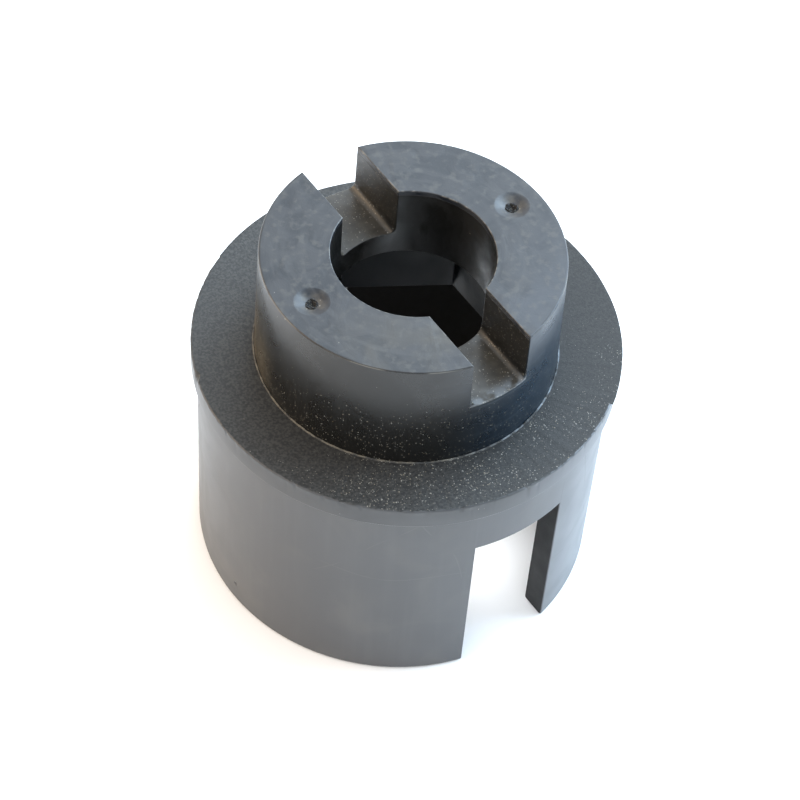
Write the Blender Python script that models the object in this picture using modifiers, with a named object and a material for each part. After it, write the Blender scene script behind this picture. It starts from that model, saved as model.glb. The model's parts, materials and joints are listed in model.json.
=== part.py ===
"""Jaw coupling sleeve: a jaw hub, a flange collar and a slotted drum.

Metres, +Z up. The origin is on the axis, at the open end of the drum, and the drive slot and the
drum's two slots all run along Y.
"""
import math

import bmesh
import bpy
from mathutils import Matrix

MM = 0.001
GAP = 0.3 * MM               # clearance between neighbouring sub-parts

# Heights above the drum's open end
FLANGE_TOP_Z = 39.8 * MM
FLANGE_DISH = 0.8 * MM       # the flange's top falls this much from its rim to the boss's foot
BOSS_FOOT_Z = FLANGE_TOP_Z - FLANGE_DISH
BOSS_HEIGHT = 17.7 * MM
JAW_TOP_Z = FLANGE_TOP_Z + BOSS_HEIGHT
DRIVE_SLOT_DEPTH = 8.4 * MM
HEX_TOP_Z = FLANGE_TOP_Z + 5.5 * MM
WEB_THICKNESS = 5.4 * MM
WEB_BOTTOM_Z = FLANGE_TOP_Z - WEB_THICKNESS
RIM_BAND = 3.4 * MM
DRUM_SLOT_TOP_Z = 28.1 * MM

# Radii and widths
FLANGE_R = 30.0 * MM
DRUM_R = 29.1 * MM
DRUM_WALL = 3.8 * MM
BOSS_TOP_R = 20.8 * MM
BOSS_FOOT_R = 21.2 * MM
BORE_R = 11.2 * MM
HEX_ACROSS_FLATS = 28.1 * MM
DRIVE_SLOT_WIDTH = 9.1 * MM
DRUM_SLOT_WIDTH = 14.3 * MM

# Small features
EDGE_BREAK = 0.3 * MM
DRUM_LIP_ROUND = 0.6 * MM
SLOT_FILLET = 1.0 * MM
DIMPLE_OFFSET = 16.3 * MM    # gate dimples: distance from the axis, square to the slot
DIMPLE_R = 2.4 * MM
DIMPLE_DEPTH = 0.8 * MM

SEGMENTS = 144
OVERRUN = 5.0 * MM           # how far a cutter runs past the faces it opens


def clear_scene():
    for obj in list(bpy.data.objects):
        bpy.data.objects.remove(obj, do_unlink=True)


def make_collection(name):
    collection = bpy.data.collections.new(name)
    bpy.context.scene.collection.children.link(collection)
    return collection


def make_material(name, color, roughness):
    material = bpy.data.materials.new(name)
    material.use_nodes = True
    shader = material.node_tree.nodes["Principled BSDF"]
    shader.inputs["Base Color"].default_value = (*color, 1.0)
    shader.inputs["Roughness"].default_value = roughness
    shader.inputs["Metallic"].default_value = 0.0
    return material


def mesh_object(name, bm, collection):
    mesh = bpy.data.meshes.new(name)
    bm.to_mesh(mesh)
    bm.free()
    obj = bpy.data.objects.new(name, mesh)
    collection.objects.link(obj)
    return obj


def turned(name, profile, collection):
    """Turn a ring's closed (radius, height) outline, listed down its outer side, about Z."""
    bm = bmesh.new()
    verts = [bm.verts.new((radius, 0.0, height)) for radius, height in profile]
    for start, end in zip(verts, verts[1:] + verts[:1]):
        bm.edges.new((start, end))
    obj = mesh_object(name, bm, collection)
    screw = obj.modifiers.new("turn", "SCREW")
    screw.steps = SEGMENTS
    screw.render_steps = SEGMENTS
    screw.use_merge_vertices = True
    screw.merge_threshold = 0.01 * MM
    screw.use_normal_calculate = False
    return obj


def as_cutter(obj):
    obj.hide_render = True
    obj.display_type = "WIRE"
    return obj


def hex_cutter(name, across_flats, low_z, high_z, collection):
    """An upright hexagonal prism with corners on +Y and -Y and two flats square to X."""
    corner_r = across_flats / math.sqrt(3)
    bm = bmesh.new()
    bmesh.ops.create_cone(bm, cap_ends=True, segments=6, radius1=corner_r, radius2=corner_r,
                          depth=high_z - low_z,
                          matrix=Matrix.Translation((0.0, 0.0, (low_z + high_z) / 2)))
    return as_cutter(mesh_object(name, bm, collection))


def slot_cutter(name, width, length, low_z, high_z, floor_round, collection):
    """A box along Y; floor_round rounds its two long bottom edges."""
    bm = bmesh.new()
    size = Matrix.Diagonal((width, length, high_z - low_z, 1.0))
    bmesh.ops.create_cube(bm, size=1.0, matrix=Matrix.Translation((0, 0, (low_z + high_z) / 2)) @ size)
    if floor_round:
        middle_z = (low_z + high_z) / 2
        long_edges = [edge for edge in bm.edges
                      if all(vert.co.z < middle_z for vert in edge.verts)
                      and abs(edge.verts[0].co.y - edge.verts[1].co.y) > length / 2]
        bmesh.ops.bevel(bm, geom=long_edges, offset=floor_round, segments=4, profile=0.5,
                        affect="EDGES")
    return as_cutter(mesh_object(name, bm, collection))


def dimple_cutter(name, centre_x, collection):
    """A ball that leaves a spherical cap of DIMPLE_R and DIMPLE_DEPTH in a jaw's top."""
    ball_r = (DIMPLE_R ** 2 + DIMPLE_DEPTH ** 2) / (2 * DIMPLE_DEPTH)
    centre = Matrix.Translation((centre_x, 0.0, JAW_TOP_Z + ball_r - DIMPLE_DEPTH))
    bm = bmesh.new()
    bmesh.ops.create_uvsphere(bm, u_segments=24, v_segments=24, radius=ball_r, matrix=centre)
    return as_cutter(mesh_object(name, bm, collection))


def cut(obj, cutter):
    boolean = obj.modifiers.new(cutter.name, "BOOLEAN")
    boolean.operation = "DIFFERENCE"
    boolean.solver = "EXACT"
    boolean.object = cutter


def finish(obj, material):
    obj.data.materials.append(material)
    obj.data.shade_smooth()
    obj.data.set_sharp_from_angle(angle=math.radians(30))


def make_jaw_hub(parts, cutters):
    profile = [
        (BORE_R, JAW_TOP_Z),
        (BOSS_TOP_R - EDGE_BREAK, JAW_TOP_Z),
        (BOSS_TOP_R, JAW_TOP_Z - EDGE_BREAK),
        (BOSS_FOOT_R, BOSS_FOOT_Z),
        (BOSS_FOOT_R, WEB_BOTTOM_Z),
        (BORE_R, WEB_BOTTOM_Z),
    ]
    hub = turned("jaw_hub", profile, collection=parts)
    cut(hub, hex_cutter("hex_cutter", HEX_ACROSS_FLATS, WEB_BOTTOM_Z - OVERRUN, HEX_TOP_Z, cutters))
    cut(hub, slot_cutter("drive_slot_cutter", DRIVE_SLOT_WIDTH, 2 * (BOSS_FOOT_R + OVERRUN),
                         JAW_TOP_Z - DRIVE_SLOT_DEPTH, JAW_TOP_Z + OVERRUN, SLOT_FILLET, cutters))
    for side, label in ((-1, "left"), (1, "right")):
        cut(hub, dimple_cutter(f"dimple_cutter_{label}", side * DIMPLE_OFFSET, cutters))
    finish(hub, make_material("hub_plastic", (0.030, 0.032, 0.036), 0.45))
    return hub


def make_flange_collar(parts):
    hole_r = BOSS_FOOT_R + GAP
    step_r = DRUM_R - DRUM_WALL - GAP
    band_bottom_z = FLANGE_TOP_Z - RIM_BAND
    profile = [
        (hole_r, BOSS_FOOT_Z),
        (FLANGE_R - EDGE_BREAK, FLANGE_TOP_Z),
        (FLANGE_R, FLANGE_TOP_Z - EDGE_BREAK),
        (FLANGE_R, band_bottom_z),
        (step_r, band_bottom_z),
        (step_r, WEB_BOTTOM_Z),
        (hole_r, WEB_BOTTOM_Z),
    ]
    collar = turned("flange_collar", profile, collection=parts)
    finish(collar, make_material("flange_plastic", (0.022, 0.023, 0.024), 0.75))
    return collar


def make_slotted_drum(parts, cutters):
    inner_r = DRUM_R - DRUM_WALL
    top_z = FLANGE_TOP_Z - RIM_BAND - GAP
    quarter = [math.radians(90 * step / 4) for step in range(5)]
    lip = [(DRUM_R - DRUM_LIP_ROUND * (1 - math.cos(angle)), DRUM_LIP_ROUND * (1 - math.sin(angle)))
           for angle in quarter]
    profile = [(inner_r, top_z), (DRUM_R, top_z), *lip, (inner_r, 0.0)]
    drum = turned("slotted_drum", profile, collection=parts)
    cut(drum, slot_cutter("drum_slot_cutter", DRUM_SLOT_WIDTH, 2 * (DRUM_R + OVERRUN), -OVERRUN,
                          DRUM_SLOT_TOP_Z, 0.0, cutters))
    finish(drum, make_material("drum_plastic", (0.045, 0.047, 0.052), 0.35))
    return drum


def main():
    clear_scene()
    parts = make_collection("jaw_coupling")
    cutters = make_collection("cutters")
    make_jaw_hub(parts, cutters)
    make_flange_collar(parts)
    make_slotted_drum(parts, cutters)


main()
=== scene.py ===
"""Looks for the jaw coupling sleeve: fine moulded surfaces, dusty black plastics, light and camera.

Metres, +Z up, the axis of the coupling on Z and its slots along Y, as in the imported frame.
"""
import json
import math

import bmesh
import bpy
from mathutils import Matrix, Quaternion, Vector, noise


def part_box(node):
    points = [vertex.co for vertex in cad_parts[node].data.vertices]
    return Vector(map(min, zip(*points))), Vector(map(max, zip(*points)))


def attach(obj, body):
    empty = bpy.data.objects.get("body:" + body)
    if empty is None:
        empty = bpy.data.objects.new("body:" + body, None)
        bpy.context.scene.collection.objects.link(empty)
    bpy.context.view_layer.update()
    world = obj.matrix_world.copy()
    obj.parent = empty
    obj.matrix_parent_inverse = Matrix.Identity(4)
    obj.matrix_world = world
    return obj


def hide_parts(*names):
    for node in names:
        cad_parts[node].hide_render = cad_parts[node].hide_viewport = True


MM = 0.001
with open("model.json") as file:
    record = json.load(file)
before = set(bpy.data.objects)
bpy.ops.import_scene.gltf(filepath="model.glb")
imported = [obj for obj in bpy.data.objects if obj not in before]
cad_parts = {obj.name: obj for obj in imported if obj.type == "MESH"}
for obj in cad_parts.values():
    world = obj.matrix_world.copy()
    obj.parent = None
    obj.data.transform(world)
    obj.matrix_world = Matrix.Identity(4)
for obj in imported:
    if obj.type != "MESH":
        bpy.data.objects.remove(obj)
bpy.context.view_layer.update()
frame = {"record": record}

# Sizes read from the frame
MOUNTS = {mount["name"]: Vector(mount["pos_m"]) for mount in frame["record"]["mounts"]}
HUB_LOW, HUB_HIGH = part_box("jaw_hub")
FLANGE_LOW, FLANGE_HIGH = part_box("flange_collar")
DRUM_LOW, DRUM_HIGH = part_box("slotted_drum")
JAW_TOP_Z = HUB_HIGH.z
WEB_BOTTOM_Z = HUB_LOW.z
BOSS_FOOT_R = HUB_HIGH.x
FLANGE_TOP_Z = FLANGE_HIGH.z
FLANGE_R = FLANGE_HIGH.x
DRUM_R = DRUM_HIGH.x
SLOT_HALF = MOUNTS["drive_slot_wall"].x
SLOT_FLOOR_Z = MOUNTS["drive_slot_floor"].z
HEX_HALF = MOUNTS["hex_socket_flat"].x
DRUM_SLOT_HALF = MOUNTS["drum_slot_wall"].x

# Sizes that the frame's boxes and mounts don't give
BOSS_TOP_R = BOSS_FOOT_R - 0.4 * MM
BORE_R = 11.2 * MM
HEX_TOP_Z = FLANGE_TOP_Z + 5.5 * MM
FLANGE_DISH = 0.8 * MM       # the flange's top falls this much from its rim to the boss's foot
BOSS_FOOT_Z = FLANGE_TOP_Z - FLANGE_DISH
BAND_BOTTOM_Z = FLANGE_TOP_Z - 3.4 * MM
DRUM_SLOT_TOP_Z = 28.1 * MM
DRUM_WALL = 3.8 * MM
DIMPLE_X = 16.3 * MM
JOINT_GAP = 0.02 * MM        # between the fine pieces, too thin to show
TOP_SLOPE = FLANGE_DISH / (FLANGE_R - BOSS_FOOT_R)

# Rounds and small details
EDGE_ROUND = 0.2 * MM
BORE_ROUND = 0.14 * MM
FLARE = 0.16 * MM            # rounds the jaws' edges along the slot
SLOT_FILLET = 1.1 * MM
HUB_BEVEL = 0.1 * MM         # on the edges that have no round of their own
DRUM_BEVEL = 0.15 * MM
BEVEL_ANGLE = math.radians(48)   # edges bent more than this take the bevel
SHARP_ANGLE = math.radians(40)   # and more than this stay sharp in the shading
ROUND_STEPS = 6
DIMPLE_R = 2.6 * MM
DIMPLE_DEPTH = 0.7 * MM
GATE_R = 0.9 * MM
LIFT = 0.012 * MM            # keeps the edges of cutters and the fin off the faces that they meet
FIN_START, FIN_END = math.radians(-55.2), math.radians(118)
RIM_NOTCH = Vector((-28.5, 9.8, 39.8)) * MM
LIP_NICK = Vector((-29.4, -1.8, 4.0)) * MM
HUB_STEPS = 160              # these two keep the slots' walls away from the turned rings' own points
DRUM_STEPS = 340
RIM_STEPS = 1080
OVERRUN = 4 * MM

# Camera, solved for the framed view: angles in degrees, and azimuth 0 looks along +Y
CAMERA_AZIMUTH = -38.344
CAMERA_ELEVATION = 51.511
CAMERA_ROLL = 4.878
CAMERA_DISTANCE = 363.25 * MM
CAMERA_TARGET = Vector((-0.12, 0.10, 25.68)) * MM
CAMERA_LENS = 113.88


# ---------------------------------------------------------------- mesh helpers

def mesh_piece(name, bm):
    mesh = bpy.data.meshes.new(name)
    bm.to_mesh(mesh)
    bm.free()
    piece = bpy.data.objects.new(name, mesh)
    bpy.context.scene.collection.objects.link(piece)
    return piece


def settle(piece):
    """Apply the piece's modifiers to its mesh."""
    graph = bpy.context.evaluated_depsgraph_get()
    mesh = bpy.data.meshes.new_from_object(piece.evaluated_get(graph))
    piece.modifiers.clear()
    coarse = piece.data
    piece.data = mesh
    bpy.data.meshes.remove(coarse)


def arc(centre, radius, start, end, steps):
    """Points of an arc in a plane, angles in degrees."""
    angles = [math.radians(start + (end - start) * step / steps) for step in range(steps + 1)]
    return [(centre[0] + radius * math.cos(a), centre[1] + radius * math.sin(a)) for a in angles]


def rounded(corners):
    """A closed outline from (x, z, round radius) corners, each corner turned into an arc."""
    outline = []
    for index, (x, z, radius) in enumerate(corners):
        corner = Vector((x, z))
        before = (Vector(corners[index - 1][:2]) - corner).normalized()
        after = (Vector(corners[(index + 1) % len(corners)][:2]) - corner).normalized()
        if radius == 0:
            outline.append((x, z))
            continue
        half = before.angle(after) / 2
        centre = corner + (before + after).normalized() * (radius / math.sin(half))
        reach = radius / math.tan(half)
        first = corner + before * reach - centre
        last = corner + after * reach - centre
        turn = first.angle_signed(last)
        for step in range(ROUND_STEPS + 1):
            spoke = first.copy()
            spoke.rotate(Matrix.Rotation(-turn * step / ROUND_STEPS, 2))
            outline.append(tuple(centre + spoke))
    return outline


def turned(name, outline, steps, closed=True):
    """Turn a (radius, height) outline, listed down its outer side, about Z."""
    bm = bmesh.new()
    verts = [bm.verts.new((radius, 0.0, height)) for radius, height in outline]
    ends = verts[1:] + verts[:1] if closed else verts[1:]
    for start, end in zip(verts, ends):
        bm.edges.new((start, end))
    piece = mesh_piece(name, bm)
    screw = piece.modifiers.new("turn", "SCREW")
    screw.steps = steps
    screw.render_steps = steps
    screw.use_merge_vertices = True
    screw.merge_threshold = 0.001 * MM
    screw.use_normal_calculate = False
    settle(piece)
    return piece


def extruded(name, outline, start, end):
    """Run a closed (x, z) outline along Y."""
    bm = bmesh.new()
    face = bm.faces.new([bm.verts.new((x, start, z)) for x, z in outline])
    run = bmesh.ops.extrude_face_region(bm, geom=[face])
    moved = [item for item in run["geom"] if isinstance(item, bmesh.types.BMVert)]
    bmesh.ops.translate(bm, verts=moved, vec=(0.0, end - start, 0.0))
    bmesh.ops.recalc_face_normals(bm, faces=bm.faces)
    return mesh_piece(name, bm)


def cut(piece, cutters):
    for cutter in cutters:
        boolean = piece.modifiers.new(cutter.name, "BOOLEAN")
        boolean.operation = "DIFFERENCE"
        boolean.solver = "EXACT"
        boolean.object = cutter
    settle(piece)
    for cutter in cutters:
        bpy.data.objects.remove(cutter, do_unlink=True)


def crisp(piece, width):
    """Take a hair of material off every edge that is still sharp."""
    bm = bmesh.new()
    bm.from_mesh(piece.data)
    bmesh.ops.remove_doubles(bm, verts=bm.verts, dist=0.01 * MM)
    bmesh.ops.dissolve_degenerate(bm, edges=bm.edges, dist=0.02 * MM)
    bm.to_mesh(piece.data)
    bm.free()
    bevel = piece.modifiers.new("crisp", "BEVEL")
    bevel.limit_method = "ANGLE"
    bevel.angle_limit = BEVEL_ANGLE
    bevel.width = width
    bevel.segments = 3
    bevel.use_clamp_overlap = False
    settle(piece)


def displace(piece, offset):
    """Move every point by offset(point), a vector in metres."""
    for vert in piece.data.vertices:
        vert.co += offset(vert.co)


def smooth(piece):
    piece.data.shade_smooth()
    piece.data.set_sharp_from_angle(angle=SHARP_ANGLE)
    normals = piece.modifiers.new("flat_faces_first", "WEIGHTED_NORMAL")
    normals.keep_sharp = True
    normals.weight = 80


def bump_noise(point, size):
    """Smooth noise from -1 to 1 whose lumps are about size across."""
    return noise.noise(point / size)


def step_up(low, high, value):
    """Smooth step of value, 0 at low and 1 at high."""
    t = min(1.0, max(0.0, (value - low) / (high - low)))
    return t * t * (3 - 2 * t)


def level_radius(point):
    return math.hypot(point.x, point.y)


# ---------------------------------------------------------------- pieces

def bowl_z(radius):
    """Height of a gate dimple's surface at a distance from its own middle."""
    share = min(1.0, radius / DIMPLE_R)
    return JAW_TOP_Z + LIFT - DIMPLE_DEPTH * (0.5 + 0.5 * math.cos(math.pi * share)) ** 0.8


def bowl_cutter(name, centre_x):
    """Cuts a gate dimple: a shallow bowl level with the jaw's top at its edge, over a deeper hole.

    The gate mark fills the hole.
    """
    steps = 16
    hole_r = 0.6 * GATE_R
    radii = [DIMPLE_R * (1 - step / steps) for step in range(steps + 1)]
    bowl = [(radius, bowl_z(radius)) for radius in radii if radius > hole_r]
    pit_z = bowl_z(0.0) - 0.5 * MM
    bowl += [(hole_r, bowl_z(hole_r)), (0.58 * GATE_R, pit_z), (0.0, pit_z)]
    outline = [(0.0, JAW_TOP_Z + OVERRUN), (DIMPLE_R, JAW_TOP_Z + OVERRUN), *bowl]
    cutter = turned(name, outline, 64, closed=False)
    cutter.data.transform(Matrix.Translation((centre_x, 0.0, 0.0)))
    return cutter


def drive_slot_outline():
    """Floor, filleted corners, walls, and a flare that rounds the jaws' upper edges."""
    top = JAW_TOP_Z + LIFT
    flare_x = SLOT_HALF + FLARE
    right = arc((SLOT_HALF - SLOT_FILLET, SLOT_FLOOR_Z + SLOT_FILLET), SLOT_FILLET, -90, 0, 8)
    right += arc((flare_x, top - FLARE), FLARE, 180, 90, 4)
    right.append((flare_x, top + OVERRUN))
    left = [(-x, z) for x, z in reversed(right)]
    return right + left


def make_hub():
    outline = rounded([
        (BOSS_TOP_R, JAW_TOP_Z, EDGE_ROUND),
        (BOSS_FOOT_R, BOSS_FOOT_Z, 0),
        (BOSS_FOOT_R, WEB_BOTTOM_Z, 0.2 * MM),
        (BORE_R, WEB_BOTTOM_Z, 0),
        (BORE_R, JAW_TOP_Z, BORE_ROUND),
    ])
    hub = turned("jaw_hub_moulding", outline, HUB_STEPS)
    bm = bmesh.new()
    corner_r = HEX_HALF * 2 / math.sqrt(3)
    low_z = WEB_BOTTOM_Z - OVERRUN
    bmesh.ops.create_cone(bm, cap_ends=True, segments=6, radius1=corner_r, radius2=corner_r,
                          depth=HEX_TOP_Z - low_z,
                          matrix=Matrix.Translation((0.0, 0.0, (HEX_TOP_Z + low_z) / 2)))
    hexagon = mesh_piece("hex_cutter", bm)
    reach = BOSS_FOOT_R + OVERRUN
    slot = extruded("slot_cutter", drive_slot_outline(), -reach, reach)
    bowls = [bowl_cutter("bowl_left", -DIMPLE_X), bowl_cutter("bowl_right", DIMPLE_X)]
    cut(hub, [hexagon, slot, *bowls])
    crisp(hub, HUB_BEVEL)
    smooth(hub)
    return hub


def ragged_rim(point):
    """The flange's upper edge waves in and out a little, with a notch and small nicks."""
    radius = level_radius(point)
    outward = Vector((point.x, point.y, 0.0)) / max(radius, MM)
    near_edge = step_up(FLANGE_R - 0.7 * MM, FLANGE_R - 0.2 * MM, radius)
    near_edge *= step_up(1.0 * MM, 0.1 * MM, FLANGE_TOP_Z - point.z)
    wave = 0.05 * bump_noise(point, 2.5 * MM) + 0.05 * bump_noise(point, 0.9 * MM)
    elsewhere = point + Vector((0.0, 0.0, 20 * MM))     # so that the nicks don't follow the waves
    nick = -0.15 * step_up(0.3, 0.6, bump_noise(elsewhere, 0.8 * MM))
    notch = -0.45 * step_up(1.2 * MM, 0.2 * MM, (point - RIM_NOTCH).length)
    return outward * (near_edge * (wave + nick + notch) * MM)


def make_flange():
    hole_r = BOSS_FOOT_R + JOINT_GAP
    step_r = DRUM_R - DRUM_WALL
    bead = 0.12 * MM
    near_rim = [(FLANGE_R - inset, FLANGE_TOP_Z - inset * TOP_SLOPE, 0) for inset in (0.9 * MM, 0.5 * MM)]
    outline = rounded([
        (hole_r + 2 * bead, BOSS_FOOT_Z + 0.01 * MM, 0),
        *near_rim,
        (FLANGE_R, FLANGE_TOP_Z, 0.22 * MM),
        (FLANGE_R, FLANGE_TOP_Z - 0.5 * MM, 0),
        (FLANGE_R, FLANGE_TOP_Z - 1.1 * MM, 0),
        (FLANGE_R, BAND_BOTTOM_Z, 0.14 * MM),
        (step_r, BAND_BOTTOM_Z, 0),
        (step_r, WEB_BOTTOM_Z, 0.3 * MM),
        (hole_r, WEB_BOTTOM_Z, 0),
        (hole_r, BOSS_FOOT_Z + 1.4 * bead, 0.05 * MM),
        (hole_r + bead, BOSS_FOOT_Z + 1.4 * bead, 0.05 * MM),
    ])
    flange = turned("flange_moulding", outline, RIM_STEPS)
    displace(flange, ragged_rim)
    displace(flange, foot_bead)
    smooth(flange)
    return flange


def foot_bead(point):
    """The thin line of flash round the boss's foot rises and falls."""
    near_foot = step_up(0.5 * MM, 0.2 * MM, level_radius(point) - BOSS_FOOT_R)
    above = step_up(-0.05 * MM, 0.05 * MM, point.z - BOSS_FOOT_Z)
    return Vector((0.0, 0.0, near_foot * above * 0.10 * MM * bump_noise(point, 0.7 * MM)))


def make_flash_fin():
    """The thin fin of flash that carries the flange's top out past its edge on one side."""
    steps = 520
    root_r = FLANGE_R - 0.35 * MM
    bm = bmesh.new()
    rows = []
    for step in range(steps + 1):
        angle = FIN_START + (FIN_END - FIN_START) * step / steps
        spoke = Vector((math.cos(angle), math.sin(angle), 0.0))
        at_rim = spoke * FLANGE_R
        # The width is in millimetres until it is faded out, and then in metres
        width = 0.20 + 0.06 * bump_noise(at_rim, 6 * MM) + 0.02 * bump_noise(at_rim, 0.9 * MM)
        width += 0.10 * step_up(FIN_START + math.radians(14), FIN_START, angle)
        width *= step_up(FIN_END, FIN_END - math.radians(30), angle) * MM
        tip_r = FLANGE_R + width
        tip_z = FLANGE_TOP_Z + width * TOP_SLOPE
        root_z = FLANGE_TOP_Z - (FLANGE_R - root_r) * TOP_SLOPE + LIFT
        section = [(root_r, root_z), (tip_r, tip_z), (tip_r - 0.02 * MM, tip_z - 0.06 * MM),
                   (root_r, root_z - 0.3 * MM)]
        rows.append([bm.verts.new(spoke * radius + Vector((0, 0, z))) for radius, z in section])
    for row, following in zip(rows, rows[1:]):
        for side in range(4):
            other = (side + 1) % 4
            bm.faces.new((row[side], row[other], following[other], following[side]))
    bm.faces.new(rows[0])
    bm.faces.new(rows[-1])
    bmesh.ops.recalc_face_normals(bm, faces=bm.faces)
    fin = mesh_piece("flash_fin", bm)
    smooth(fin)
    return fin


def make_drum():
    inner_r = DRUM_R - DRUM_WALL
    outline = rounded([
        (DRUM_R, BAND_BOTTOM_Z - JOINT_GAP, 0),
        (DRUM_R, 0.0, 0.6 * MM),
        (inner_r, 0.0, 0.4 * MM),
        (inner_r, BAND_BOTTOM_Z - JOINT_GAP, 0),
    ])
    drum = turned("drum_moulding", outline, DRUM_STEPS)
    reach = DRUM_R + OVERRUN
    walls = [(DRUM_SLOT_HALF, -OVERRUN), (DRUM_SLOT_HALF, DRUM_SLOT_TOP_Z),
             (-DRUM_SLOT_HALF, DRUM_SLOT_TOP_Z), (-DRUM_SLOT_HALF, -OVERRUN)]
    bm = bmesh.new()
    bmesh.ops.create_icosphere(bm, subdivisions=3, radius=0.55 * MM,
                               matrix=Matrix.Translation(LIP_NICK))
    cut(drum, [extruded("drum_slot_cutter", walls, -reach, reach), mesh_piece("nick_cutter", bm)])
    crisp(drum, DRUM_BEVEL)
    smooth(drum)
    return drum


def make_gate_mark(name, centre_x, seed):
    """The broken gate in a dimple: a rough crater that follows the bowl, torn at its edge."""
    size = 1.5 * MM
    cells = 72
    bm = bmesh.new()
    bmesh.ops.create_grid(bm, x_segments=cells, y_segments=cells, size=size)
    for vert in bm.verts:
        radius = level_radius(vert.co)
        here = Vector((vert.co.x, vert.co.y, seed * MM))
        edge = GATE_R * (1 + 0.22 * bump_noise(here, 0.8 * MM))
        rim = math.exp(-((radius / edge - 0.8) / 0.2) ** 2)
        torn = 0.10 * bump_noise(here, 0.16 * MM) + 0.16 * bump_noise(here, 0.38 * MM)
        pit = -0.22 * step_up(0.75 * edge, 0.2 * edge, radius)
        sunk = -0.4 * step_up(0.9 * edge, 1.15 * edge, radius)
        vert.co.z = bowl_z(radius) + (0.05 + 0.08 * rim + torn + pit + sunk) * MM
    bmesh.ops.translate(bm, verts=bm.verts, vec=(centre_x, 0.0, 0.0))
    mark = mesh_piece(name, bm)
    mark.data.shade_smooth()
    return mark


# ---------------------------------------------------------------- material helpers

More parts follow.
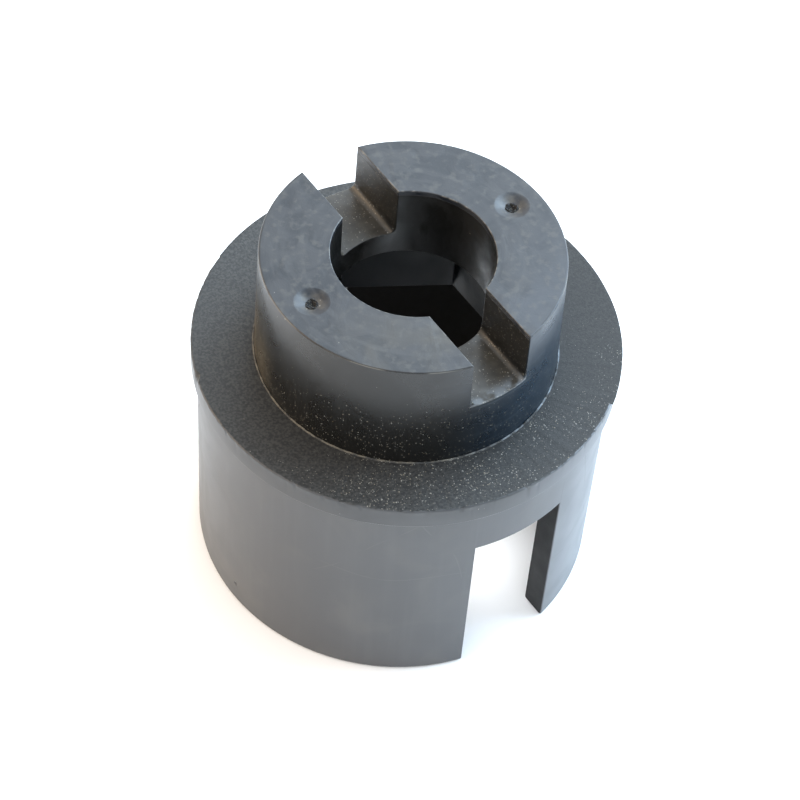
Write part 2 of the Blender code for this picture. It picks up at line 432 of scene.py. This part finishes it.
class Plastic:
    """A Principled material and short ways to add nodes to it."""

    def __init__(self, name):
        self.material = bpy.data.materials.new(name)
        self.material.use_nodes = True
        self.tree = self.material.node_tree
        self.shader = self.tree.nodes["Principled BSDF"]
        self.coords = self.node("ShaderNodeTexCoord").outputs["Object"]
        apart = self.node("ShaderNodeSeparateXYZ", {0: self.coords})
        self.x, self.y, self.z = apart.outputs[0], apart.outputs[1], apart.outputs[2]
        flat = self.combine(self.x, self.y)
        self.radius = self.vector("LENGTH", flat)
        self.spoke = self.vector("NORMALIZE", flat)

    def node(self, kind, inputs=None, **settings):
        made = self.tree.nodes.new(kind)
        for key, value in settings.items():
            setattr(made, key, value)
        for key, value in (inputs or {}).items():
            self.feed(made.inputs[key], value)
        return made

    def feed(self, socket, value):
        if isinstance(value, bpy.types.NodeSocket):
            self.tree.links.new(value, socket)
        else:
            socket.default_value = value

    def combine(self, x, y, z=0.0):
        return self.node("ShaderNodeCombineXYZ", {0: x, 1: y, 2: z}).outputs[0]

    def vector(self, operation, a, b=(0.0, 0.0, 0.0), scale=1.0):
        """A vector operation's result: a number for a length or a dot product, otherwise a vector."""
        made = self.node("ShaderNodeVectorMath", {0: a, 1: b, 3: scale}, operation=operation)
        return made.outputs["Value" if operation in ("LENGTH", "DOT_PRODUCT") else "Vector"]

    def math(self, operation, a, b=0.0, clamp=False):
        return self.node("ShaderNodeMath", {0: a, 1: b}, operation=operation,
                         use_clamp=clamp).outputs[0]

    def times(self, *values):
        product = values[0]
        for value in values[1:]:
            product = self.math("MULTIPLY", product, value)
        return product

    def plus(self, *values):
        total = values[0]
        for value in values[1:]:
            total = self.math("ADD", total, value)
        return total

    def ease(self, value, low, high, to_low=0.0, to_high=1.0):
        """Smooth step of value from low to high."""
        return self.node("ShaderNodeMapRange",
                         {"Value": value, "From Min": low, "From Max": high,
                          "To Min": to_low, "To Max": to_high},
                         interpolation_type="SMOOTHSTEP").outputs["Result"]

    def noise(self, size, detail=3.0, vector=None, distortion=0.0):
        """Noise from 0 to 1 whose lumps are about size across."""
        return self.node("ShaderNodeTexNoise",
                         {"Vector": vector or self.coords, "Scale": 1 / size, "Detail": detail,
                          "Distortion": distortion}).outputs["Fac"]

    def patchy(self, size, detail, low, high, to_low=0.0, to_high=1.0):
        """Noise of that size with its contrast raised between low and high."""
        return self.ease(self.noise(size, detail), low, high, to_low, to_high)

    def stretched(self, across, along_z):
        """Coordinates squeezed so that noise of size one is across by along_z in size."""
        return self.vector("MULTIPLY", self.coords, (1 / across, 1 / across, 1 / along_z))

    def rings(self, width, length):
        """Coordinates in which noise of size one makes rings about Z: width across, length along."""
        typical_r = 20 * MM
        wound = self.node("ShaderNodeSeparateXYZ",
                          {0: self.vector("SCALE", self.spoke, scale=typical_r / length)})
        return self.combine(wound.outputs[0], wound.outputs[1],
                            self.math("DIVIDE", self.radius, width))

    def facing(self, direction):
        """How far round a point lies towards a level direction, from -1 to 1."""
        return self.vector("DOT_PRODUCT", self.spoke, direction)

    def mix_value(self, share, a, b):
        mixer = self.node("ShaderNodeMix")
        self.feed(mixer.inputs["Factor"], share)
        self.feed(mixer.inputs[2], a)
        self.feed(mixer.inputs[3], b)
        return mixer.outputs[0]

    def mix(self, share, a, b):
        """Colour a with a share of colour b laid over it."""
        mixer = self.node("ShaderNodeMix", data_type="RGBA")
        self.feed(mixer.inputs["Factor"], share)
        for socket, value in ((mixer.inputs[6], a), (mixer.inputs[7], b)):
            self.feed(socket, value if isinstance(value, bpy.types.NodeSocket) else (*value, 1.0))
        return mixer.outputs[2]

    def grains(self, size, share, offset, growth):
        """Round grains, one in each of a share of cells of that size: (mask, tint from 0 to 1)."""
        largest = 0.42
        edge_sharpness = 9.0
        wobble = self.node("ShaderNodeTexNoise", {"Vector": self.coords, "Scale": 1.5 / size})
        shift = self.vector("SCALE", wobble.outputs["Color"], scale=size * 0.6)
        moved = self.vector("ADD", self.vector("ADD", self.coords, shift), (offset, 0, 0))
        cells = self.node("ShaderNodeTexVoronoi", {"Vector": moved, "Scale": 1 / size})
        picks = self.node("ShaderNodeSeparateColor", {0: cells.outputs["Color"]})
        excess = self.math("SUBTRACT", picks.outputs[0], self.math("SUBTRACT", 1.0, share))
        radius = self.math("MINIMUM", self.math("MULTIPLY", excess, growth), largest)
        inside = self.math("SUBTRACT", radius, cells.outputs["Distance"])
        return self.math("MULTIPLY", inside, edge_sharpness, clamp=True), picks.outputs[1]

    def dust(self, colour, layers, growth=1.6):
        """Lay grains over a colour: (colour, cover). A layer is (cell size, share, strength, offset).

        The lower growth is, the more the grains' sizes differ.
        """
        cover = 0.0
        for size, share, strength, offset in layers:
            mask, tint = self.grains(size, share, offset, growth)
            strong = self.math("MULTIPLY", mask, strength)
            colour = self.mix(strong, colour, self.mix(tint, TAN_DUST, WHITE_DUST))
            cover = self.math("MAXIMUM", strong, cover)
        return colour, cover

    def finish(self, colour, roughness, height, specular=0.5, depth=0.05 * MM):
        bump = self.node("ShaderNodeBump", {"Height": height, "Distance": depth, "Strength": 1.0})
        self.feed(self.shader.inputs["Base Color"], colour)
        self.feed(self.shader.inputs["Roughness"], roughness)
        self.tree.links.new(bump.outputs[0], self.shader.inputs["Normal"])
        self.shader.inputs["Specular IOR Level"].default_value = specular
        return self.material


# Level directions from the axis
FLANGE_DUSTY_SIDE = (-0.10, -0.99, 0.0)  # where dust has gathered most on the flange
BOSS_DUSTY_SIDE = (-0.64, 0.77, 0.0)     # and on the boss
BOSS_COOL_LIT_SIDE = (0.77, -0.64, 0.0)     # where the boss's wall is painted bluer and paler, standing for the cool window's light
WINDOW_LIT_SIDE = (0.71, -0.71, 0.0)         # where the flange's band and the drum are painted paler and bluer, standing for the window's light
WARM_SIDE = (-0.78, 0.62, 0.0)           # where the surround is warm, to the camera's left

# Colours
TAN_DUST = (0.42, 0.36, 0.26)
WHITE_DUST = (0.62, 0.62, 0.58)
TOP_DARK = (0.003, 0.005, 0.009)
TOP_GREY = (0.021, 0.023, 0.027)
TOP_SWIRL = (0.034, 0.036, 0.039)
TOP_FLECK = (0.055, 0.054, 0.050)
STAIN_WARM_LIT = (0.050, 0.045, 0.034)
STAIN_COOL_LIT = (0.034, 0.040, 0.050)
WALL_BLACK = (0.0050, 0.0050, 0.0046)
WALL_COOL_LIT = (0.002, 0.010, 0.020)
WALL_COOL_STREAK = (0.045, 0.058, 0.072)
WALL_FILM = (0.080, 0.067, 0.046)
SLOT_FILM = (0.036, 0.032, 0.025)
SLOT_FLOOR_LIT = (0.115, 0.128, 0.140)
GATE_CRUMBS = (0.062, 0.054, 0.042)
EDGE_SEAM = (0.002, 0.002, 0.002)
EDGE_WORN_AND_HIGHLIT = (0.15, 0.145, 0.13)
FLANGE_PITS = (0.009, 0.0095, 0.010)
FLANGE_GREY = (0.036, 0.036, 0.034)
BAND_DARK = (0.030, 0.032, 0.035)
BAND_LIGHT = (0.042, 0.044, 0.047)
BAND_WINDOW_LIT = (0.078, 0.085, 0.095)
BAND_EDGE_HIGHLIGHT = (0.16, 0.16, 0.155)
FOOT_HIGHLIGHT_WARM = (0.19, 0.17, 0.13)
FOOT_HIGHLIGHT_COOL = (0.24, 0.28, 0.32)
DRUM_DARK = (0.050, 0.052, 0.056)
DRUM_LIGHT = (0.060, 0.062, 0.066)
DRUM_HAZE = (0.095, 0.092, 0.086)
DRUM_STREAK = (0.080, 0.082, 0.085)
DRUM_WINDOW_LIT = (0.085, 0.091, 0.100)
DRUM_SCRATCH = (0.15, 0.15, 0.145)

# The dark and the light of each inside plastic; in the drum's slots and cavity they are painted dark,
# standing for shade
SOCKET_COLOURS = (0.003, 0.004, 0.006), (0.006, 0.008, 0.010)
DRUM_SLOT_SHADED_COLOURS = (0.006, 0.007, 0.009), (0.012, 0.013, 0.015)
DRUM_INNER_SHADED_COLOURS = (0.003, 0.003, 0.003), (0.006, 0.006, 0.006)
GATE_COLOURS = (0.004, 0.004, 0.004), (0.090, 0.082, 0.066)


# ---------------------------------------------------------------- materials

def hub_material():
    plastic = Plastic("hub_plastic")
    cloud = plastic.noise(4.5 * MM, 5.0, distortion=0.8)
    fine_cloud = plastic.noise(1.1 * MM, 4.0)
    off_middle = plastic.math("ABSOLUTE", plastic.x)
    side = plastic.ease(plastic.radius, BOSS_TOP_R - 0.2 * MM, BOSS_TOP_R - 0.02 * MM)
    on_top = plastic.ease(plastic.z, JAW_TOP_Z - 0.9 * MM, JAW_TOP_Z - 0.7 * MM)
    on_top = plastic.math("SUBTRACT", on_top, side, clamp=True)
    front = plastic.ease(plastic.y, -2 * MM, -16 * MM)
    dusty_way = plastic.ease(plastic.facing(BOSS_DUSTY_SIDE), 0.66, 0.92)
    # Painted light: the side of the boss that faces the cool window is tinted bluer and streaked paler
    cool_lit_side = plastic.times(side, plastic.ease(plastic.facing(BOSS_COOL_LIT_SIDE), 0.2, 0.9))
    low = plastic.times(side, plastic.ease(plastic.z, BOSS_FOOT_Z + 15 * MM, BOSS_FOOT_Z + 3 * MM))
    in_slot = plastic.times(plastic.ease(off_middle, SLOT_HALF + 0.10 * MM, SLOT_HALF + 0.04 * MM),
                            plastic.ease(plastic.z, SLOT_FLOOR_Z - 0.2 * MM, SLOT_FLOOR_Z),
                            plastic.ease(plastic.radius, BORE_R - 0.1 * MM, BORE_R + 0.1 * MM))
    off_gate = plastic.combine(plastic.math("SUBTRACT", off_middle, DIMPLE_X), plastic.y)
    by_gate = plastic.times(plastic.ease(plastic.z, JAW_TOP_Z - 1.3 * MM, JAW_TOP_Z - 1.2 * MM),
                            plastic.ease(plastic.vector("LENGTH", off_gate), 2.3 * MM, 0.9 * MM))

    base = plastic.mix(on_top, boss_wall_colour(plastic, cool_lit_side),
                       jaw_top_colour(plastic, cloud, fine_cloud, front))
    film = plastic.times(low, dusty_way, plastic.patchy(5 * MM, 4.0, 0.2, 0.7, 0.3, 1.0))
    base = plastic.mix(film, base, WALL_FILM)
    base = soil_and_light_slot(plastic, base, in_slot, fine_cloud, front)
    crumbs = plastic.times(by_gate, plastic.ease(fine_cloud, 0.35, 0.6), 0.6)
    base = plastic.mix(crumbs, base, GATE_CRUMBS)
    base = wear_and_highlight_edges(plastic, base, off_middle)

    patches = plastic.patchy(6 * MM, 3.0, 0.25, 0.7, 0.5, 1.0)
    lower_wall = plastic.times(low, patches, plastic.ease(dusty_way, 0.0, 0.6, 0.11, 0.18))
    share = plastic.plus(lower_wall, 0.028, plastic.times(in_slot, patches, 0.10),
                         plastic.times(by_gate, 0.06))
    colour, _ = plastic.dust(base, [(0.17 * MM, share, 0.28, 0.0), (0.25 * MM, share, 0.30, 0.1),
                                    (0.60 * MM, 0.028, 0.7, 0.2)], growth=6.0)
    roughness = plastic.mix_value(side, plastic.ease(cloud, 0.3, 0.7, 0.30, 0.52),
                                  plastic.ease(cloud, 0.3, 0.7, 0.26, 0.34))
    height = plastic.plus(plastic.times(fine_cloud, plastic.ease(side, 0.0, 1.0, 0.3, 0.02)),
                          plastic.times(cloud, on_top, 1.6),
                          plastic.times(plastic.noise(0.2 * MM, 2.0), on_top, 0.05))
    return plastic.finish(colour, roughness, height)


def jaw_top_colour(plastic, cloud, fine_cloud, front):
    """Mottled grey with faint rings, and pale patches at the front that are partly stain and partly
    painted light: warm at the left, cool at the right.
    """
    swirl = plastic.noise(1.0, 3.0, vector=plastic.rings(1.3 * MM, 13 * MM))
    stain = plastic.noise(9 * MM, 3.0, distortion=0.5)
    # Painted light: the front patches take the warm lamp's tint at the left and the cool window's tint at
    # the right
    lit_stain = plastic.mix(plastic.ease(plastic.x, -6 * MM, 6 * MM), STAIN_WARM_LIT, STAIN_COOL_LIT)
    top = plastic.mix(plastic.ease(cloud, 0.38, 0.62), TOP_DARK, TOP_GREY)
    top = plastic.mix(plastic.times(plastic.ease(swirl, 0.45, 0.7), 0.5), top, TOP_SWIRL)
    top = plastic.mix(plastic.times(plastic.ease(stain, 0.35, 0.62), front, 0.65), top, lit_stain)
    return plastic.mix(plastic.times(plastic.ease(fine_cloud, 0.5, 0.72), 0.5), top, TOP_FLECK)


def boss_wall_colour(plastic, cool_lit_side):
    """Black, with painted cool light on the side that faces the cool window: bluer there, with paler
    level streaks.
    """
    streaks = plastic.noise(1.0, 3.0, vector=plastic.stretched(14 * MM, 0.45 * MM))
    cool_light_share = plastic.times(plastic.ease(streaks, 0.52, 0.70), cool_lit_side,
                          plastic.patchy(6 * MM, 2.0, 0.35, 0.6), 0.7)
    wall = plastic.mix(cool_lit_side, WALL_BLACK, WALL_COOL_LIT)
    return plastic.mix(cool_light_share, wall, WALL_COOL_STREAK)


def soil_and_light_slot(plastic, base, in_slot, fine_cloud, front):
    """A film of dirt in the drive slot, and painted light, pale and bluish, at the front end of its
    floor.
    """
    near_floor = plastic.ease(plastic.z, SLOT_FLOOR_Z + 0.3 * MM, SLOT_FLOOR_Z + 0.1 * MM, 0.12, 1.0)
    film = plastic.times(in_slot, near_floor, plastic.ease(fine_cloud, 0.3, 0.7, 0.5, 1.0))
    # Painted light: the front end of the slot's floor is made pale and bluish
    lit_floor_end = plastic.times(in_slot,
                           plastic.ease(plastic.z, SLOT_FLOOR_Z + 0.5 * MM, SLOT_FLOOR_Z + 0.2 * MM),
                           plastic.ease(plastic.radius, BOSS_TOP_R - 2.4 * MM, BOSS_TOP_R - 0.2 * MM),
                           plastic.patchy(1.6 * MM, 4.0, 0.34, 0.60), front, 0.85)
    return plastic.mix(lit_floor_end, plastic.mix(film, base, SLOT_FILM), SLOT_FLOOR_LIT)


def wear_and_highlight_edges(plastic, base, off_middle):
    """A dark seam and thin pale lines along the jaws' upper edges, the bore's rim and the slot's edges;
    the pale lines are partly scuffs and partly a painted highlight on the rounds.
    """
    near_top = plastic.ease(plastic.z, JAW_TOP_Z - 0.22 * MM, JAW_TOP_Z - 0.10 * MM)
    seam = plastic.times(plastic.ease(plastic.radius, BOSS_TOP_R - 0.40 * MM, BOSS_TOP_R - 0.26 * MM),
                         plastic.ease(plastic.radius, BOSS_TOP_R - 0.12 * MM, BOSS_TOP_R - 0.20 * MM),
                         plastic.patchy(5 * MM, 3.0, 0.50, 0.58), 0.8)
    base = plastic.mix(plastic.times(near_top, seam), base, EDGE_SEAM)
    # The pale lines on the edges are partly wear and partly a painted highlight on the rounds
    outer = plastic.times(plastic.ease(plastic.radius, BOSS_TOP_R - 0.12 * MM, BOSS_TOP_R - 0.04 * MM),
                          plastic.patchy(4 * MM, 4.0, 0.42, 0.62))
    bore = plastic.times(plastic.ease(plastic.radius, BORE_R + 0.20 * MM, BORE_R + 0.06 * MM),
                         plastic.patchy(0.9 * MM, 4.0, 0.46, 0.62))
    slot = plastic.times(plastic.ease(off_middle, SLOT_HALF + 0.22 * MM, SLOT_HALF + 0.08 * MM),
                         plastic.patchy(1.6 * MM, 4.0, 0.48, 0.64))
    edges = plastic.math("MAXIMUM", outer, plastic.math("MAXIMUM", bore, slot))
    return plastic.mix(plastic.times(near_top, edges, 0.6), base, EDGE_WORN_AND_HIGHLIT)


def flange_material(name, bare_edge=True):
    """The flange's speckled top and satin band; the fin has no bare edge."""
    plastic = Plastic(name)
    cloud = plastic.noise(7 * MM, 4.0, distortion=0.4)
    gathered = plastic.ease(plastic.facing(FLANGE_DUSTY_SIDE), -0.35, 1.05)
    on_top = plastic.ease(plastic.z, FLANGE_TOP_Z - 1.2 * MM, FLANGE_TOP_Z - 0.9 * MM)
    if bare_edge:
        torn = plastic.patchy(0.7 * MM, 3.0, 0.3, 0.7, -0.10 * MM, 0.10 * MM)
        uneven_r = plastic.plus(plastic.radius, torn)
        on_top = plastic.times(on_top,
                               plastic.ease(uneven_r, FLANGE_R - 0.14 * MM, FLANGE_R - 0.20 * MM))
    # Painted shade: the grey of the top is thinned on the side that faces the window, so that the top is
    # darker there
    mottle = plastic.times(plastic.patchy(0.36 * MM, 4.0, 0.36, 0.66),
                           plastic.ease(gathered, 0.0, 1.0, 0.9, 0.8),
                           plastic.ease(plastic.facing(WINDOW_LIT_SIDE), 0.2, 0.9, 1.0, 0.45))
    top = plastic.mix(mottle, FLANGE_PITS, FLANGE_GREY)
    band = plastic.mix(plastic.ease(cloud, 0.3, 0.7), BAND_DARK, BAND_LIGHT)
    # Painted light: the band is paler and bluer on the side that faces the window
    band = plastic.mix(plastic.ease(plastic.facing(WINDOW_LIT_SIDE), 0.6, 0.97), band, BAND_WINDOW_LIT)
    near_bottom = plastic.ease(plastic.z, BAND_BOTTOM_Z + 0.22 * MM, BAND_BOTTOM_Z + 0.08 * MM)
    # Painted highlight: a pale broken line along the band's lower round
    lower_edge_highlight = plastic.times(near_bottom, plastic.patchy(3 * MM, 4.0, 0.36, 0.6), 0.6)
    band = plastic.mix(lower_edge_highlight, band, BAND_EDGE_HIGHLIGHT)
    base = plastic.mix(on_top, band, top)

    # Painted highlight: a bright broken line round the boss's foot, warm at the left and cool on the side
    # that the cool window lights
    cool_light_share = plastic.ease(plastic.facing(BOSS_COOL_LIT_SIDE), 0.2, 0.9)
    near_foot = plastic.ease(plastic.radius, BOSS_FOOT_R + 0.30 * MM, BOSS_FOOT_R + 0.18 * MM)
    foot_highlight = plastic.times(near_foot, plastic.patchy(1.4 * MM, 4.0, 0.40, 0.62), on_top,
                         plastic.ease(cool_light_share, 0.0, 1.0, 0.45, 0.55))
    base = plastic.mix(foot_highlight, base, plastic.mix(cool_light_share, FOOT_HIGHLIGHT_WARM, FOOT_HIGHLIGHT_COOL))

    patches = plastic.ease(cloud, 0.3, 0.7, 0.16, 0.36)
    share = plastic.plus(plastic.times(on_top, patches, gathered), 0.02)
    colour, cover = plastic.dust(base, [(0.19 * MM, share, 0.34, 0.0), (0.28 * MM, share, 0.32, 0.1),
                                        (0.8 * MM, 0.08, 0.7, 0.3)])
    roughness = plastic.math("MAXIMUM", plastic.ease(on_top, 0.0, 1.0, 0.38, 0.58),
                             plastic.times(cover, 0.9))
    grit = plastic.times(on_top, plastic.noise(0.2 * MM, 2.0), 0.6)
    return plastic.finish(colour, roughness, plastic.plus(grit, plastic.times(cover, 0.5)))


def drum_material():
    plastic = Plastic("drum_plastic")
    cloud = plastic.noise(9 * MM, 4.0, distortion=0.5)
    streaks = plastic.noise(1.0, 4.0, vector=plastic.stretched(1.6 * MM, 24 * MM))
    haze = plastic.ease(plastic.noise(10 * MM, 4.0, distortion=0.6), 0.45, 0.7)
    base = plastic.mix(plastic.ease(cloud, 0.3, 0.7), DRUM_DARK, DRUM_LIGHT)
    base = plastic.mix(plastic.times(haze, 0.3), base, DRUM_HAZE)
    base = plastic.mix(plastic.times(plastic.ease(streaks, 0.45, 0.75), 0.22), base, DRUM_STREAK)
    # Painted light: the drum is paler and bluer on the side that faces the window
    base = plastic.mix(plastic.ease(plastic.facing(WINDOW_LIT_SIDE), 0.72, 0.97), base, DRUM_WINDOW_LIT)
    colour, cover = plastic.dust(base, [(0.5 * MM, 0.008, 0.5, 0.0), (1.6 * MM, 0.02, 0.6, 0.15)])
    scratch = scratches(plastic)
    colour = plastic.mix(plastic.times(scratch, 0.22), colour, DRUM_SCRATCH)
    roughness = plastic.plus(plastic.ease(cloud, 0.3, 0.7, 0.34, 0.42), plastic.times(scratch, 0.1))
    height = plastic.plus(plastic.times(plastic.noise(0.3 * MM, 2.0), 0.04), plastic.times(cover, 0.5))
    return plastic.finish(colour, roughness, height)


def scratches(plastic):
    """A mask of a few long faint arcs and hairlines: thin slices of tilted, wandering layers."""
    wander = plastic.times(plastic.noise(26 * MM, 1.0), 14 * MM)
    total = 0.0
    # Each set of layers: a direction across them, then their spacing and their shift in millimetres
    sets = (((0.3, 0.2, 1.0), 23.0, 3), ((-0.5, 0.8, 0.9), 31.0, 5), ((1.0, 0.4, 0.25), 27.0, 9))
    for across, spacing, shift in sets:
        along = plastic.plus(plastic.vector("DOT_PRODUCT", plastic.coords, across), wander, shift * MM)
        line = plastic.ease(plastic.math("PINGPONG", along, spacing * MM / 2), 0.10 * MM, 0.03 * MM)
        moved = plastic.vector("ADD", plastic.coords, (shift * MM, 0, 0))
        kept = plastic.ease(plastic.noise(7 * MM, 2.0, vector=moved), 0.50, 0.60)
        total = plastic.math("MAXIMUM", plastic.times(line, kept), total)
    return total


def dull_material(name, colours, specular):
    """Moulded plastic for faces inside the hub and drum: darker and duller than the outside, where the
    drum's darker colour is painted shade.
    """
    plastic = Plastic(name)
    cloud = plastic.noise(4 * MM, 4.0)
    colour = plastic.mix(plastic.ease(cloud, 0.3, 0.7), *colours)
    colour, cover = plastic.dust(colour, [(0.4 * MM, 0.03, 0.3, 0.0)])
    roughness = plastic.math("MAXIMUM", plastic.ease(cloud, 0.3, 0.7, 0.38, 0.52), cover)
    return plastic.finish(colour, roughness, plastic.noise(0.4 * MM), specular, depth=0.01 * MM)


def gate_material():
    plastic = Plastic("gate_plastic")
    rough = plastic.noise(0.25 * MM, 3.0)
    colour = plastic.mix(plastic.ease(rough, 0.56, 0.72), *GATE_COLOURS)
    return plastic.finish(colour, plastic.ease(rough, 0.3, 0.7, 0.6, 0.85), rough, specular=0.3,
                          depth=0.1 * MM)


# ---------------------------------------------------------------- stage

def make_floor():
    bm = bmesh.new()
    bmesh.ops.create_grid(bm, x_segments=1, y_segments=1, size=3.0)
    floor = mesh_piece("floor", bm)
    material = bpy.data.materials.new("pale_floor")
    material.use_nodes = True
    shader = material.node_tree.nodes["Principled BSDF"]
    shader.inputs["Base Color"].default_value = (0.86, 0.86, 0.86, 1.0)
    shader.inputs["Roughness"].default_value = 0.9
    floor.data.materials.append(material)


def make_surround():
    """A bright soft sky, cool at the right and warm at the left."""
    world = bpy.data.worlds.new("studio")
    world.use_nodes = True
    tree = world.node_tree
    background = tree.nodes["Background"]
    background.inputs["Strength"].default_value = 1.65
    direction = tree.nodes.new("ShaderNodeTexCoord").outputs["Generated"]
    side = tree.nodes.new("ShaderNodeVectorMath")
    side.operation = "DOT_PRODUCT"
    side.inputs[1].default_value = WARM_SIDE
    tree.links.new(direction, side.inputs[0])
    blend = tree.nodes.new("ShaderNodeMapRange")
    blend.interpolation_type = "SMOOTHSTEP"
    blend.inputs["From Min"].default_value = -0.3
    blend.inputs["From Max"].default_value = 0.8
    tree.links.new(side.outputs["Value"], blend.inputs["Value"])
    mix = tree.nodes.new("ShaderNodeMix")
    mix.data_type = "RGBA"
    mix.inputs[6].default_value = (0.84, 0.92, 1.0, 1.0)
    mix.inputs[7].default_value = (1.0, 0.90, 0.79, 1.0)
    tree.links.new(blend.outputs["Result"], mix.inputs["Factor"])
    tree.links.new(mix.outputs[2], background.inputs["Color"])
    bpy.context.scene.world = world


def towards(azimuth, elevation, distance):
    """A point at that distance from the origin; degrees, azimuth 0 is on the side of -Y."""
    a, e = math.radians(azimuth), math.radians(elevation)
    return Vector((math.sin(a) * math.cos(e), -math.cos(a) * math.cos(e), math.sin(e))) * distance


def add_softbox(name, position, target, size, power, colour):
    lamp = bpy.data.lights.new(name, "AREA")
    lamp.shape = "RECTANGLE"
    lamp.size, lamp.size_y = size
    lamp.energy = power
    lamp.color = colour
    holder = bpy.data.objects.new(name, lamp)
    holder.location = position
    holder.rotation_mode = "QUATERNION"
    holder.rotation_quaternion = (target - position).to_track_quat("-Z", "Y")
    holder.visible_camera = False
    bpy.context.scene.collection.objects.link(holder)
    return lamp


def light_stage():
    """Cool panels at the right and back, a warm lamp at the left, and a small lamp in the drum.

    The small lamp shines down on the floor, so that it stays pale where the drum's slot shows it.
    """
    make_surround()
    middle = Vector((0.0, 0.0, 30 * MM))
    add_softbox("window", towards(84, 36, 0.9), middle, (0.85, 0.65), 16.0, (0.60, 0.80, 1.0))
    add_softbox("back_panel", towards(122, 42, 0.9), middle, (0.62, 0.9), 5.0, (0.72, 0.87, 1.0))
    add_softbox("warm_lamp", towards(-125, 28, 0.6), middle, (0.4, 0.3), 1.9, (1.0, 0.72, 0.45))
    inside = Vector((5.0, -14.0, 26.0)) * MM
    under_fill = add_softbox("under_fill", inside, inside - middle, (8 * MM, 8 * MM), 0.0014,
                             (0.96, 0.98, 1.0))
    under_fill.spread = math.radians(70)
    under_fill.specular_factor = 0.0
    bpy.context.scene.view_settings.view_transform = "Standard"


def add_camera():
    lens = bpy.data.cameras.new("camera")
    lens.lens = CAMERA_LENS
    lens.sensor_width = 36.0
    lens.clip_start = 0.01
    camera = bpy.data.objects.new("camera", lens)
    back = towards(CAMERA_AZIMUTH, CAMERA_ELEVATION, 1.0)
    camera.location = CAMERA_TARGET + back * CAMERA_DISTANCE
    camera.rotation_mode = "QUATERNION"
    roll = Quaternion((0.0, 0.0, 1.0), math.radians(CAMERA_ROLL))
    camera.rotation_quaternion = (-back).to_track_quat("-Z", "Y") @ roll
    bpy.context.scene.collection.objects.link(camera)
    bpy.context.scene.camera = camera


# ---------------------------------------------------------------- putting it together

def dress(piece, material, node=None):
    piece.data.materials.clear()
    piece.data.materials.append(material)
    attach(piece, "root")
    if node:
        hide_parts(node)


def recoat(piece, material, picks):
    """Give another material to the faces whose middle picks(middle) accepts."""
    piece.data.materials.append(material)
    for face in piece.data.polygons:
        if picks(face.center):
            face.material_index = len(piece.data.materials) - 1


def in_socket(point):
    return point.z < HEX_TOP_Z + 0.01 * MM and level_radius(point) < BOSS_FOOT_R - 0.5 * MM


def behind_drum_face(point):
    """On the drum's slot walls, its lip or its inside."""
    return level_radius(point) < DRUM_R - 0.3 * MM


def on_drum_inside(point):
    return level_radius(point) < DRUM_R - DRUM_WALL + 0.2 * MM


def main():
    add_camera()
    light_stage()
    make_floor()
    hub = make_hub()
    dress(hub, hub_material(), "jaw_hub")
    recoat(hub, dull_material("socket_plastic", SOCKET_COLOURS, 0.2), in_socket)
    dress(make_flange(), flange_material("flange_plastic"), "flange_collar")
    dress(make_flash_fin(), flange_material("fin_plastic", bare_edge=False))
    drum = make_drum()
    dress(drum, drum_material(), "slotted_drum")
    # Painted shade: the drum's slot walls and inside are coloured darker than its outside
    recoat(drum, dull_material("drum_slot_shaded_plastic", DRUM_SLOT_SHADED_COLOURS, 0.2), behind_drum_face)
    recoat(drum, dull_material("drum_inner_shaded_plastic", DRUM_INNER_SHADED_COLOURS, 0.1), on_drum_inside)
    gate_plastic = gate_material()
    dress(make_gate_mark("gate_mark_left", -DIMPLE_X, seed=3), gate_plastic)
    dress(make_gate_mark("gate_mark_right", DIMPLE_X, seed=8), gate_plastic)


main()
